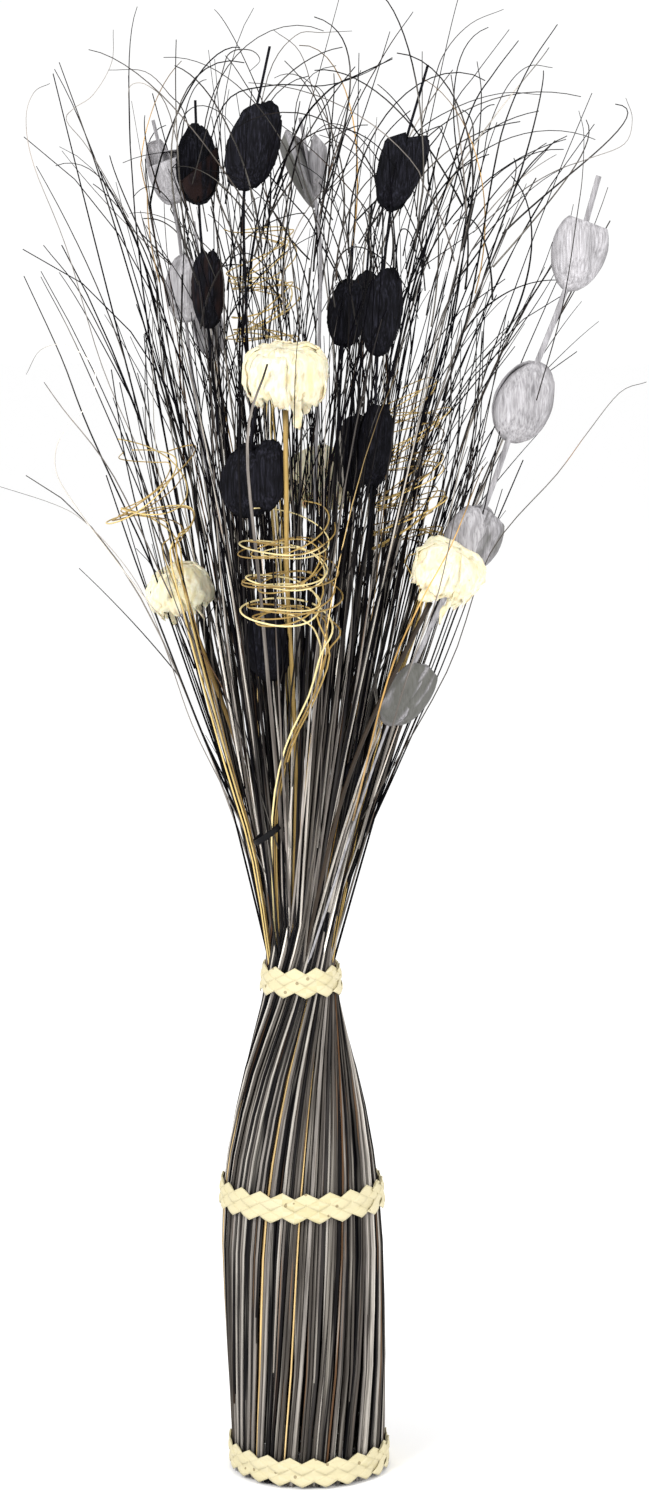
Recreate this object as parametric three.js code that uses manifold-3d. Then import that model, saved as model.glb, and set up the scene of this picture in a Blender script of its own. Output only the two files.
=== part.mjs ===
// A free-standing dried arrangement, 1 m tall: dyed grass stems gathered into a twisted,
// vase-like bundle that stands on its own cut ends, tied by three braided palm-leaf bands,
// and fanning out above the neck round petal buds on spears, palm-leaf flowers and curled reeds.
// Millimetres, +Z up, front towards -Y. The origin is the centre of the cut ends, on the floor.
import * as THREE from "three";
import { mergeVertices } from "three/addons/utils/BufferGeometryUtils.js";
import Module from "manifold-3d";

const wasm = await Module();
wasm.setup();

// ---- driving dimensions ----
const HEIGHT = 1000;
const SHEAVES = 10; // sheaves of stems standing round the central one
const FIRST_AZIMUTH = 12; // degrees, of the first sheaf's middle at the floor
const GAP = 0.3; // between touching pieces
const FAN_START = 385; // above this height every stem runs straight
const STALK_FOOT = 322; // height at which the spears and reeds are tucked into the neck

// Outside radius of the bundle, its inner radius against the central sheaf, and how far it has
// turned round, each against height.
const BUNDLE_RADIUS = [
  [0, 53], [80, 56], [160, 56.8], [205, 53.8], [245, 48],
  [280, 40.6], [310, 32.3], [335, 26.2], [360, 24.2], [FAN_START, 24.8],
];
const CORE_RADIUS = [
  [0, 20], [80, 20], [160, 20], [205, 20], [280, 14],
  [335, 8], [FAN_START, 7], [640, 8], [850, 5], [HEIGHT, 1.2],
];
const TWIST = [
  [0, 0], [80, 0.17], [160, 0.29], [205, 0.36], [245, 0.44],
  [280, 0.55], [310, 0.74], [335, 1.0], [360, 1.3], [FAN_START, 1.6],
];

// The bundle stands a little askew: how far its middle line is off to the right at a height.
const MIDDLE_X = [[0, 0], [80, -1.7], [160, -4.3], [205, -5.4], [FAN_START, -5.5], [480, 0]];

// Two kinds of sheaf take turns round the bundle: one leans out to the rim of the head and one
// stands taller inside it, and the one at the front left leans out furthest. out and along are a
// sheaf's slopes away from the axis and round it.
const RIM = { top: 860, out: 0.3, along: 0.28 };
const TALL = { top: 985, out: 0.1, along: 0.12 };
const FURTHEST = { top: 820, out: 0.38, along: 0.36 };
const LEANS = [RIM, TALL, FURTHEST, TALL, RIM, TALL, RIM, TALL, RIM, TALL];
// Half width of a sheaf above the neck, against its share of the way from FAN_START to its top.
const SHEAF_HALF_WIDTH = [[0, 4.8], [0.07, 5], [0.18, 5.6], [0.45, 6], [1, 1.2]];

const BANDS = [
  { name: "base_braid", z: 12, teeth: 21 },
  { name: "waist_braid", z: 197, teeth: 21 },
  { name: "neck_braid", z: 346, teeth: 11 },
];
const BAND_THICKNESS = 2;
const BAND_NOTCH_HEIGHT = 13; // between opposite notches of the zigzag edges
const BAND_TOOTH = 4; // height of one tooth

const STALK_RADIUS = 1.3;
const SPEAR_STEPS = 8; // straight lengths in a spear's tube
const REED_RADIUS = 2.2; // a curled reed is a strand of five thin ones

// Colours from the dyed and natural pieces: [colour, roughness].
const FINISHES = {
  dark_straw: ["#4f4a47", 0.75],
  palm_braid: ["#eee3b4", 0.8],
  black_petal: ["#1d1d24", 0.85],
  grey_petal: ["#8f8f90", 0.85],
  cream_flower: ["#f4ecd2", 0.9],
  gold_reed: ["#b79f5f", 0.6],
  black_strap: ["#1a1a1c", 0.6],
};

// Each spear is tucked into the neck at a radius and azimuth (degrees), carries its buds at the
// places given, and ends at its tip. A bud is [x, y, z, width, height], and may add how far it is
// turned on its spear, in degrees, and its depth.
const SPEARS = [
  { finish: "grey_petal", foot: [17, -112], tip: [191, -30, 886],
    buds: [
      [62, -50, 548, 36, 48], [109, -45, 650, 34, 44],
      [141, -40, 739, 40, 54], [179, -30, 838, 38, 50],
    ] },
  { finish: "grey_petal", foot: [9, 112], tip: [-104, 24, 925],
    buds: [[-86, 34, 813, 28, 44], [-90, 30, 893, 30, 47]] },
  { finish: "grey_petal", foot: [5, -150], tip: [-5, -24, 924],
    buds: [[5, -20, 893, 32, 52, 62, 17]] },
  { finish: "black_petal", foot: [10, 160], tip: [-73, -46, 934],
    buds: [[-68, -32, 812, 26, 50], [-72, -40, 893, 29, 50]] },
  { finish: "black_petal", foot: [9, -178], tip: [-24, -78, 966],
    buds: [[-39, -66, 903, 36, 56]] },
  { finish: "black_petal", foot: [13, -70], tip: [77, -84, 954],
    buds: [
      [30, -27, 488, 12, 24], [43, -62, 711, 24, 54],
      [47, -75, 797, 30, 56], [58, -80, 888, 31, 52],
    ] },
  { finish: "black_petal", foot: [8, -20], tip: [30, 38, 842],
    buds: [[25, 28, 797, 24, 46]] },
  { finish: "black_petal", foot: [15, 155], tip: [-25, -68, 768],
    buds: [[-26, -62, 581, 26, 54], [-39, -90, 690, 37, 48]] },
  { finish: "black_petal", foot: [12, 20], tip: [44, 118, 872],
    buds: [[32, 84, 700, 34, 54], [40, 106, 816, 34, 54]] },
  { finish: "grey_petal", foot: [12, 70], tip: [-80, 108, 860],
    buds: [[-70, 92, 790, 34, 50]] },
];

// A flower sits on the top of its straight stem.
const FLOWERS = [
  { foot: [10, -140], via: [[-8, -42, 500], [-13, -72, 610]], top: [-14, -98, 735] },
  { foot: [12, -120], via: [[30, -58, 500]], top: [80, -84, 610] },
  { foot: [17, 140], via: [[-44, -6, 490]], top: [-78, -22, 592] },
  { foot: [13, 42], via: [[8, 60, 520]], top: [10, 112, 660] },
];
const FLOWER_OUTLINE = [[0, -24], [9, -24], [19, -17], [26, -2], [25, 10], [15, 21], [0, 23]];

// A curled reed climbs through its via points and then winds round centre.
const CURLS = [
  { foot: [13, -156], via: [[-24, -38, 453], [-12, -66, 505], [8, -100, 560]], centre: [-12, -104],
    radius: 27, start: 0, from: 590, to: 676, turns: 3 },
  { foot: [15.5, -22], via: [[42, -18, 500], [74, -38, 600]], centre: [66, -28], radius: 24,
    start: -80, from: 648, to: 742, turns: 2.5 },
  { foot: [5, 80], via: [[-14, -8, 560], [-26, -12, 720]], centre: [-30, 2], radius: 23,
    start: -70, from: 775, to: 868, turns: 2 },
  { foot: [16, 180], via: [[-36, -27, 430], [-54, -44, 500], [-79, -56, 600]], centre: [-104, -40],
    radius: 22, start: -35, from: 664, to: 712, turns: 1.2 },
];

// The small strap round one sub-bundle at the front left.
const STRAP = { centre: [-23.5, -35, 450], radius: 11.5, thickness: 1.4, width: 3, tilt: 0.62 };

// ---- small tools ----

// A value read off a list of [position, value] pairs, straight between them.
function read(pairs, at) {
  const next = pairs.findIndex(([p]) => p >= at);
  if (next === 0) return pairs[0][1];
  if (next < 0) return pairs.at(-1)[1];
  const [p0, v0] = pairs[next - 1];
  const [p1, v1] = pairs[next];
  return v0 + ((v1 - v0) * (at - p0)) / (p1 - p0);
}

function mesh(name, geometry, finish) {
  const [color, roughness] = FINISHES[finish];
  const material = new THREE.MeshStandardMaterial({ color, roughness, metalness: 0 });
  const made = new THREE.Mesh(geometry, material);
  made.name = name;
  return made;
}

// A closed loft made from a capped cylinder: place(x, y, ring) gives the point for a rim point
// (x, y) of the unit circle, or for a cap's centre (0, 0), on the ring counted from the bottom.
function loft(sides, rings, place) {
  const geometry = new THREE.CylinderGeometry(1, 1, 1, sides, rings - 1, false).rotateX(Math.PI / 2);
  const at = geometry.getAttribute("position");
  for (let i = 0; i < at.count; i++) {
    const ring = Math.round((at.getZ(i) + 0.5) * (rings - 1));
    at.setXYZ(i, ...place(at.getX(i), at.getY(i), ring));
  }
  geometry.computeVertexNormals();
  return geometry;
}

const UP = new THREE.Vector3(0, 0, 1);
const polar = (radius, angle, z) => [radius * Math.cos(angle), radius * Math.sin(angle), z];
const inBundle = (radius, angle, z) => {
  const [x, y] = polar(radius, angle, z);
  return [x + read(MIDDLE_X, z), y, z];
};

function solid(geometry) {
  const bare = geometry.index ? geometry.toNonIndexed() : geometry.clone();
  const points = new THREE.BufferGeometry().setAttribute("position", bare.getAttribute("position"));
  const merged = mergeVertices(points, 1e-3);
  return new wasm.Manifold(
    new wasm.Mesh({
      numProp: 3,
      vertProperties: merged.attributes.position.array,
      triVerts: new Uint32Array(merged.index.array),
    }),
  );
}

// geometry with the channels cut out of it; slivers that a channel leaves at an edge are dropped.
function carve(geometry, channels) {
  let body = solid(geometry);
  for (const channel of channels) body = body.subtract(channel);
  const bodies = body.decompose().sort((a, b) => b.volume() - a.volume());
  const cut = bodies[0].getMesh();
  const carved = new THREE.BufferGeometry()
    .setAttribute("position", new THREE.BufferAttribute(new Float32Array(cut.vertProperties), 3))
    .setIndex(new THREE.BufferAttribute(new Uint32Array(cut.triVerts), 1));
  carved.computeVertexNormals();
  return carved;
}

function polygon(sides, radius) {
  const corner = (_, k) => new THREE.Vector2(...polar(radius, (2 * Math.PI * k) / sides));
  return new THREE.Shape(Array.from({ length: sides }, corner));
}

const tube = (path, radius, steps, sides = 6) =>
  new THREE.ExtrudeGeometry(polygon(sides, radius), { extrudePath: path, steps, bevelEnabled: false });

const smooth = (points) =>
  new THREE.CatmullRomCurve3(points.map((p) => new THREE.Vector3(...p)), false, "centripetal");

const footPoint = ([radius, degrees]) => inBundle(radius, (degrees * Math.PI) / 180, STALK_FOOT);

// ---- sheaves of stems ----

// Radius and angle of the middle line of an outer sheaf at height z.
function sheafLine(azimuth, lean, z) {
  const middle = (read(BUNDLE_RADIUS, z) + read(CORE_RADIUS, z)) / 2;
  if (z <= FAN_START) return { radius: middle, angle: azimuth + read(TWIST, z) };
  const rise = z - FAN_START;
  const outward = middleAtFan() + lean.out * rise;
  const sideways = lean.along * rise;
  return {
    radius: Math.hypot(outward, sideways),
    angle: azimuth + read(TWIST, FAN_START) + Math.atan2(sideways, outward),
  };
}

function middleAtFan() {
  return (read(BUNDLE_RADIUS, FAN_START) + read(CORE_RADIUS, FAN_START)) / 2;
}

// An outer sheaf: a twisted wedge of the bundle from the floor to the neck, then a tapering horn.
function outerSheaf(azimuth, lean) {
  const levels = BUNDLE_RADIUS.map(([z]) => z);
  const shares = SHEAF_HALF_WIDTH.slice(1).map(([share]) => share);
  levels.push(...shares.map((share) => FAN_START + share * (lean.top - FAN_START)));
  return loft(8, levels.length, (x, y, ring) => {
    const z = levels[ring];
    const { radius, angle } = sheafLine(azimuth, lean, z);
    const square = Math.max(Math.abs(x), Math.abs(y)) || 1;
    if (z <= FAN_START) {
      const halfDepth = (read(BUNDLE_RADIUS, z) - read(CORE_RADIUS, z) - GAP) / 2;
      const here = radius + GAP / 2 + (halfDepth * x) / square;
      const halfAngle = Math.PI / SHEAVES - GAP / 2 / here;
      return inBundle(here, angle + (halfAngle * y) / square, z);
    }
    const half = read(SHEAF_HALF_WIDTH, (z - FAN_START) / (lean.top - FAN_START));
    return inBundle(radius + half * x, angle + (half * y) / radius, z);
  });
}

// The central sheaf runs straight up the axis and leans a little to the right at its tip.
function centralSheaf() {
  const levels = CORE_RADIUS.map(([z]) => z);
  return loft(8, levels.length, (x, y, ring) => {
    const z = levels[ring];
    const lean = 22 * Math.max(0, (z - FAN_START) / (HEIGHT - FAN_START)) ** 2;
    const radius = read(CORE_RADIUS, z);
    return [lean + read(MIDDLE_X, z) + radius * x, radius * y, z];
  });
}

// ---- braided bands ----

// A ring that follows the bundle, with teeth along both edges: a tooth above stands over a notch
// below.
function braid({ z, teeth }) {
  const outline = [[0, -1], [1, -1], [1, 1], [0, 1], [0, -1]];
  const geometry = new THREE.LatheGeometry(
    outline.map(([wall, edge]) => new THREE.Vector2(2 + wall, edge)), 2 * teeth,
  ).rotateX(Math.PI / 2);
  const at = geometry.getAttribute("position");
  for (let i = 0; i < at.count; i++) {
    const angle = Math.atan2(at.getY(i), at.getX(i)); // the seam is at -90 degrees
    const step = Math.round(((angle + Math.PI / 2) * teeth) / Math.PI);
    const edge = Math.sign(at.getZ(i));
    const wall = Math.round(Math.hypot(at.getX(i), at.getY(i))) - 2;
    const tooth = Math.abs(step) % 2 === 0 ? 1 : -1;
    const height = z + (edge * BAND_NOTCH_HEIGHT) / 2 + (tooth * BAND_TOOTH) / 2 + (edge * BAND_TOOTH) / 2;
    const radius = read(BUNDLE_RADIUS, height) + GAP + 0.15 + wall * BAND_THICKNESS;
    at.setXYZ(i, ...inBundle(radius, angle, Math.max(height, 0.5)));
  }
  geometry.computeVertexNormals();
  return geometry;
}

// ---- spears, buds, flowers, reeds ----

// A bud faces the front or the back, turned a third of the way towards its own side. The angle is
// from the front.
function budFacing(x, y) {
  const front = y < 60;
  const side = Math.atan2(x, front ? Math.abs(y) + 20 : -y);
  return front ? side / 3 : side - Math.sign(side) * 0.3;
}

// A bud of two clasped petals: a flattened bead threaded on its spear, its broad face outwards.
function bud([x, y, z, width, height, turned = 0, depth = Math.max(0.38 * width, 9)], path) {
  const low = onSpear(path, z - 0.3 * height);
  const high = onSpear(path, z + 0.3 * height);
  const hole = 2.7;
  const outline = [[0, -0.48], [0.6, -0.38], [1, -0.02], [0.7, 0.38], [0, 0.48], [0, -0.48]];
  const thin = depth / 2 - hole;
  const geometry = new THREE.LatheGeometry(
    outline.map(([r, h]) => new THREE.Vector2(hole + r * thin, h * height)), 8,
  ).rotateX(Math.PI / 2);
  geometry.scale(width / depth, 1, 1);
  geometry.rotateZ(budFacing(x, y) + (turned * Math.PI) / 180);
  const along = high.clone().sub(low).normalize();
  geometry.applyQuaternion(new THREE.Quaternion().setFromUnitVectors(UP, along));
  return geometry.translate(...low.add(high).divideScalar(2));
}

function flower(top, along) {
  const geometry = new THREE.LatheGeometry(
    FLOWER_OUTLINE.map(([r, h]) => new THREE.Vector2(r, h + 24 + GAP)), 11,
  ).rotateX(Math.PI / 2);
  geometry.applyQuaternion(new THREE.Quaternion().setFromUnitVectors(UP, along));
  return geometry.translate(...top);
}

function curlPath({ foot, via, centre, radius, start, from, to, turns }) {
  const points = [footPoint(foot), ...via];
  const steps = Math.round(8 * turns);
  for (let k = 0; k <= steps; k++) {
    const angle = (start * Math.PI) / 180 + (2 * Math.PI * turns * k) / steps;
    const [x, y] = polar(radius, angle, 0);
    points.push([centre[0] + x, centre[1] + y, from + ((to - from) * k) / steps]);
  }
  return smooth(points);
}

// The point of a spear's straight-sided tube at height z.
function onSpear(path, z) {
  const points = path.getSpacedPoints(SPEAR_STEPS);
  const next = points.findIndex((p) => p.z >= z);
  const [low, high] = [points[next - 1], points[next]];
  return low.clone().lerp(high, (z - low.z) / (high.z - low.z));
}

function strap({ centre, radius, thickness, width, tilt }) {
  const outline = polygon(10, radius + thickness);
  outline.holes.push(new THREE.Path(polygon(10, radius).getPoints()));
  const geometry = new THREE.ExtrudeGeometry(outline, { depth: width, bevelEnabled: false });
  return geometry.translate(0, 0, -width / 2).rotateY(-tilt).translate(...centre);
}

// ---- the arrangement ----

const arrangement = new THREE.Group();
const numbered = (name, k) => name + "_" + String(k + 1).padStart(2, "0");
const channels = []; // room in the sheaves for what is tucked between their stems

function addStalk(name, path, radius, steps, finish, sides) {
  arrangement.add(mesh(name, tube(path, radius, steps, sides), finish));
  channels.push(solid(tube(path, 1.5 * radius + GAP, steps, 4)));
}

for (const band of BANDS) arrangement.add(mesh(band.name, braid(band), "palm_braid"));

SPEARS.forEach((spear, k) => {
  const path = smooth([footPoint(spear.foot), ...spear.buds.map((b) => b.slice(0, 3)), spear.tip]);
  addStalk(numbered("spear", k), path, STALK_RADIUS, SPEAR_STEPS, spear.finish);
  spear.buds.forEach((placed, n) => {
    arrangement.add(mesh(numbered("bud", k) + "_" + "abcd"[n], bud(placed, path), spear.finish));
  });
});

FLOWERS.forEach(({ foot, via, top }, k) => {
  const path = smooth([footPoint(foot), ...via, top]);
  addStalk(numbered("flower_stem", k), path, STALK_RADIUS, 7, "gold_reed");
  arrangement.add(mesh(numbered("flower", k), flower(top, path.getTangent(1)), "cream_flower"));
});

CURLS.forEach((curl, k) => {
  const steps = Math.round(5 + 9 * curl.turns);
  addStalk(numbered("curled_reed", k), curlPath(curl), REED_RADIUS, steps, "gold_reed", 5);
});

arrangement.add(mesh("strap", strap(STRAP), "black_strap"));

arrangement.add(mesh("central_sheaf", carve(centralSheaf(), channels), "dark_straw"));
for (let k = 0; k < SHEAVES; k++) {
  const azimuth = (Math.PI * FIRST_AZIMUTH) / 180 + (2 * Math.PI * k) / SHEAVES;
  const geometry = carve(outerSheaf(azimuth, LEANS[k]), channels);
  arrangement.add(mesh(numbered("sheaf", k), geometry, "dark_straw"));
}

export default arrangement;
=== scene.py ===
"""A free-standing dried arrangement: dyed grass stems twisted into a bottle-shaped bundle,
tied by three braided palm-leaf bands, with petal buds, palm flowers and curled reeds in its head.
Metres, +Z up, front towards -Y, origin at the centre of the cut ends on the floor."""

import math
import random
from typing import NamedTuple

import bmesh
import bpy
import numpy as np
from mathutils import Matrix, Vector, noise


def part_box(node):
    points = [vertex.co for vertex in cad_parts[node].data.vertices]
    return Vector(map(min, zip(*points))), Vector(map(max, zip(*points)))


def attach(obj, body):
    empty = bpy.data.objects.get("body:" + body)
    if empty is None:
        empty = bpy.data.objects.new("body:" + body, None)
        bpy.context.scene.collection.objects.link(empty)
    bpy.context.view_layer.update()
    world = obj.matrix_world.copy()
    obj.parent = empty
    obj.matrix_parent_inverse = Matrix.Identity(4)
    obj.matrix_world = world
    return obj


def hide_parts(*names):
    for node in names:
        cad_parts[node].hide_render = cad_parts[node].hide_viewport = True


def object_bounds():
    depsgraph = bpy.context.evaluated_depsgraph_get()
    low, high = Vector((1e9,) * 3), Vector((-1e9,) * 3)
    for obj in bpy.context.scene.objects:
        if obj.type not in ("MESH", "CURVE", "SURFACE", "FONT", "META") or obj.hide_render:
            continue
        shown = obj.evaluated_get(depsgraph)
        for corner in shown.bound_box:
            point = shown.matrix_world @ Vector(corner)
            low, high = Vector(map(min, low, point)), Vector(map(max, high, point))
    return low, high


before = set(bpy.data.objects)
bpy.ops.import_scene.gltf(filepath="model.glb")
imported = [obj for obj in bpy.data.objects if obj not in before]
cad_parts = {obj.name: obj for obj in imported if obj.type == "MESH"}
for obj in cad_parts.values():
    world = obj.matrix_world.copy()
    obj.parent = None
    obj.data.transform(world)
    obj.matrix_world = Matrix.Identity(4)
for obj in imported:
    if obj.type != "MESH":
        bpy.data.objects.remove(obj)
cad_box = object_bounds()
SEED = 7
dice = random.Random(SEED)
noise.seed_set(SEED)

# ---- the bundle, as the frame's sheaves stand ----
FAN_START = 0.385  # above this height every stem runs free
SPREAD_LEVEL = 0.8  # height at which the spread of the head is set
SHEAVES = 10
FIRST_AZIMUTH = math.radians(12)
BUNDLE_RADIUS = (
    (0, 0.080, 0.160, 0.205, 0.245, 0.280, 0.310, 0.335, 0.360, 0.385),
    (0.053, 0.056, 0.0568, 0.0538, 0.048, 0.0406, 0.0323, 0.0262, 0.0242, 0.0248),
)
MIDDLE_X = ((0, 0.080, 0.160, 0.205, 0.385, 0.480), (0, -0.0017, -0.0043, -0.0054, -0.0055, 0))
TWIST = (
    (0, 0.080, 0.160, 0.205, 0.245, 0.280, 0.310, 0.335, 0.360, 0.385),
    (0, 0.17, 0.29, 0.36, 0.44, 0.55, 0.74, 1.0, 1.3, 1.6),
)
BAND_TEETH = {"base_braid": 21, "waist_braid": 21, "neck_braid": 11}

# How far the tips may reach: the frame's box and a little over it at the sides and the top.
OVER = Vector((0.018, 0.017, 0.012))
REACH_LOW = Vector((cad_box[0].x - OVER.x, cad_box[0].y - OVER.y, 0))
REACH_HIGH = cad_box[1] + OVER


# ---- small tools ----


def clamp(value, low=0.0, high=1.0):
    return max(low, min(high, value))


def ease(low, high, value):
    t = clamp((value - low) / (high - low))
    return t * t * (3 - 2 * t)


def mix(a, b, t):
    return a + (b - a) * t


def read(table, at, blur=0.012):
    """A value off a pair of lists, smoothed over a short stretch."""
    return sum(np.interp(at + d, *table) for d in (-blur, -blur / 2, 0, blur / 2, blur)) / 5


def polar(radius, angle, z=0.0):
    return Vector((radius * math.cos(angle), radius * math.sin(angle), z))


def in_bundle(radius, angle, z):
    """A point at a radius and angle round the bundle's own middle line."""
    return polar(radius, angle, z) + Vector((read(MIDDLE_X, z), 0, 0))


def smooth_path(points, steps):
    """Points along a curve that passes through the given ones, evenly shared out between them."""
    points = [Vector(p) for p in points]
    ends = [points[0] * 2 - points[1], *points, points[-1] * 2 - points[-2]]
    made = []
    for a, b, c, d in zip(ends, ends[1:], ends[2:], ends[3:]):
        for k in range(steps):
            t = k / steps
            square, cube = 2 * a - 5 * b + 4 * c - d, 3 * b - a - 3 * c + d
            made.append(0.5 * (2 * b + (c - a) * t + square * t * t + cube * t**3))
    return made + [points[-1]]


def ring_frames(path, side=None):
    """A turning-free frame at each point of a path: its local Z runs along the path. side is the way
    its X starts out."""
    frames = []
    for k, point in enumerate(path):
        ahead = (path[min(k + 1, len(path) - 1)] - path[max(k - 1, 0)]).normalized()
        if side is None:
            side = ahead.orthogonal()
        side = (side - ahead * side.dot(ahead)).normalized()
        up = ahead.cross(side)
        frames.append(Matrix.Translation(point) @ Matrix((side, up, ahead)).transposed().to_4x4())
    return frames


def new_body():
    bm = bmesh.new()
    for name in ("along", "tone", "fade"):
        bm.verts.layers.float.new(name)
    bm.verts.layers.float_vector.new("fibre")
    return bm


_tubes = {}


def straight_tube(sides, rings):
    """A closed tube along Z, with a ring for each whole number of Z."""
    if (sides, rings) not in _tubes:
        bm = new_body()
        bmesh.ops.create_circle(bm, cap_ends=True, segments=sides, radius=1)
        edges = list(bm.edges)
        for _ in range(rings - 1):
            made = bmesh.ops.extrude_edge_only(bm, edges=edges)["geom"]
            edges = [g for g in made if isinstance(g, bmesh.types.BMEdge)]
            ring = [g for g in made if isinstance(g, bmesh.types.BMVert)]
            bmesh.ops.translate(bm, verts=ring, vec=(0, 0, 1))
        bmesh.ops.contextual_create(bm, geom=edges)
        bmesh.ops.recalc_face_normals(bm, faces=bm.faces)
        _tubes[sides, rings] = bm
    return _tubes[sides, rings].copy()


def add_tube(body, path, radii, sides=5, tone=0.5, fade=1.0, flat=1.0, span=(0.0, 1.0), side=None):
    """Bends a tube along a path and adds it to a body. radii has one radius for each point, and flat
    squashes the section. Its fibre attribute is a space that follows the tube: the place round it,
    and metres along it, from a start of its own."""
    bm = straight_tube(sides, len(path))
    frames = ring_frames(path, side)
    tone_layer = bm.verts.layers.float["tone"]
    fade_layer = bm.verts.layers.float["fade"]
    along_layer = bm.verts.layers.float["along"]
    fibre_layer = bm.verts.layers.float_vector["fibre"]
    start = Vector((dice.uniform(0, 40), dice.uniform(0, 40), dice.uniform(0, 40)))
    step = (path[-1] - path[0]).length / (len(path) - 1)
    for v in bm.verts:
        k = round(v.co.z)
        v[fibre_layer] = start + Vector((v.co.x, v.co.y, k * step))
        v[tone_layer] = tone
        v[fade_layer] = fade
        v[along_layer] = mix(*span, k / (len(path) - 1))
        v.co = frames[k] @ Vector((v.co.x * radii[k], v.co.y * radii[k] * flat, 0))
    add_to(body, bm)


def add_to(body, bm):
    """Moves a finished bmesh into a body, which may hold many."""
    part = bpy.data.meshes.new("part")
    bm.to_mesh(part)
    bm.free()
    body.from_mesh(part)
    bpy.data.meshes.remove(part)


def put_in_scene(name, data):
    made = bpy.data.objects.new(name, data)
    bpy.context.scene.collection.objects.link(made)
    return made


def mesh_object(name, bm, material):
    """A body as an object of the scene, smooth and in its one material."""
    mesh = bpy.data.meshes.new(name)
    bm.to_mesh(mesh)
    bm.free()
    for polygon in mesh.polygons:
        polygon.use_smooth = True
    mesh.materials.append(material)
    return put_in_scene(name, mesh)


def finish_piece(name, bm, material, node):
    """The finished object of a body: in place, riding on the root and standing for its CAD node."""
    piece = mesh_object(name, bm, material)
    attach(piece, "root")
    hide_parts(node)


def walled(bm, wall, outward):
    """Gives an open sheet a wall. outward tells how far a face's normal points out of the object."""
    bmesh.ops.recalc_face_normals(bm, faces=bm.faces)
    if sum(outward(f) for f in bm.faces) < 0:
        bmesh.ops.reverse_faces(bm, faces=bm.faces)
    bmesh.ops.solidify(bm, geom=bm.faces, thickness=wall)


def tapered(thick, steps, foot, tip):
    """The radii along a tube of so many steps: thick, times foot at its start and tip at its end."""
    return [thick * mix(foot, tip, k / steps) for k in range(steps + 1)]


def centre_line(node):
    """The middle of each ring of a thin tube in the frame, from its foot to its tip."""
    points = sorted((v.co.copy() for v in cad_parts[node].data.vertices), key=lambda p: p.z)
    rings = [[points[0]]]
    for p in points[1:]:
        if p.z - rings[-1][-1].z > 0.004:
            rings.append([])
        rings[-1].append(p)
    return [sum((p for p in ring), Vector()) / len(ring) for ring in rings]


def centre_of(node):
    low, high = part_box(node)
    return (low + high) / 2


def size_of(node):
    low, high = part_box(node)
    return high - low


def nodes_named(start):
    return sorted(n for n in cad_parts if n.startswith(start))


# ---- materials ----


def group(name, inputs, outputs):
    """An empty shader node group with its sockets, each (name, kind, value)."""
    made = bpy.data.node_groups.new(name, "ShaderNodeTree")
    for socket, kind, value in inputs:
        new = made.interface.new_socket(socket, in_out="INPUT", socket_type="NodeSocket" + kind)
        if value is not None:
            new.default_value = value
    for socket, kind in outputs:
        made.interface.new_socket(socket, in_out="OUTPUT", socket_type="NodeSocket" + kind)
    return made, made.nodes.new("NodeGroupInput"), made.nodes.new("NodeGroupOutput")


def put(tree, kind, values=None, **settings):
    """A node in a tree, with its settings and plain input values."""
    node = tree.nodes.new(kind)
    for key, value in settings.items():
        setattr(node, key, value)
    for key, value in (values or {}).items():
        node.inputs[key].default_value = value
    return node


def ramp(tree, source, stops, interpolation="LINEAR"):
    """A colour ramp fed by a socket. Each stop is (position, colour)."""
    node = tree.nodes.new("ShaderNodeValToRGB")
    node.color_ramp.interpolation = interpolation
    while len(node.color_ramp.elements) < len(stops):
        node.color_ramp.elements.new(0.5)
    for element, (position, colour) in zip(node.color_ramp.elements, stops):
        element.position = position
        element.color = rgb(colour) if isinstance(colour, str) else (colour, colour, colour, 1)
    tree.links.new(source, node.inputs["Fac"])
    return node.outputs["Color"]


def rgb(text):
    """A linear colour from the usual six letters and digits."""
    parts = [int(text[k : k + 2], 16) / 255 for k in (0, 2, 4)]
    return (*[p / 12.92 if p <= 0.04045 else ((p + 0.055) / 1.055) ** 2.4 for p in parts], 1)


def mixed(tree, share, a, b, blend="MIX"):
    """One colour over another. A colour may be a socket or text."""
    node = put(tree, "ShaderNodeMix", data_type="RGBA", blend_type=blend)
    for socket, value in ((node.inputs[6], a), (node.inputs[7], b)):
        if isinstance(value, str):
            socket.default_value = rgb(value)
        else:
            tree.links.new(value, socket)
    if isinstance(share, float):
        node.inputs[0].default_value = share
    else:
        tree.links.new(share, node.inputs[0])
    return node.outputs[2]


def maths(tree, operation, a, b=0.0, clamped=False):
    node = put(tree, "ShaderNodeMath", operation=operation, use_clamp=clamped)
    for socket, value in zip(node.inputs, (a, b)):
        if isinstance(value, (int, float)):
            socket.default_value = value
        else:
            tree.links.new(value, socket)
    return node.outputs[0]


def make_grain():
    """Fine fibres along the Z of a pattern space, and the longer, softer streaks between them."""
    made, given, out = group(
        "Lengthwise grain",
        [("Vector", "Vector", None), ("Across", "Float", 900.0), ("Along", "Float", 25.0)],
        [("Fibres", "Float"), ("Streaks", "Float")],
    )
    stretch = put(made, "ShaderNodeCombineXYZ")
    for axis, source in zip("XYZ", ("Across", "Across", "Along")):
        made.links.new(given.outputs[source], stretch.inputs[axis])
    scaled = put(made, "ShaderNodeVectorMath", operation="MULTIPLY")
    made.links.new(given.outputs["Vector"], scaled.inputs[0])
    made.links.new(stretch.outputs[0], scaled.inputs[1])
    for output, scale, detail in (("Fibres", 1.0, 3.0), ("Streaks", 0.31, 2.0)):
        noise_node = put(made, "ShaderNodeTexNoise", {"Scale": scale, "Detail": detail, "Roughness": 0.6})
        made.links.new(scaled.outputs[0], noise_node.inputs["Vector"])
        made.links.new(noise_node.outputs["Fac"], out.inputs[output])
    return made


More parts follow.
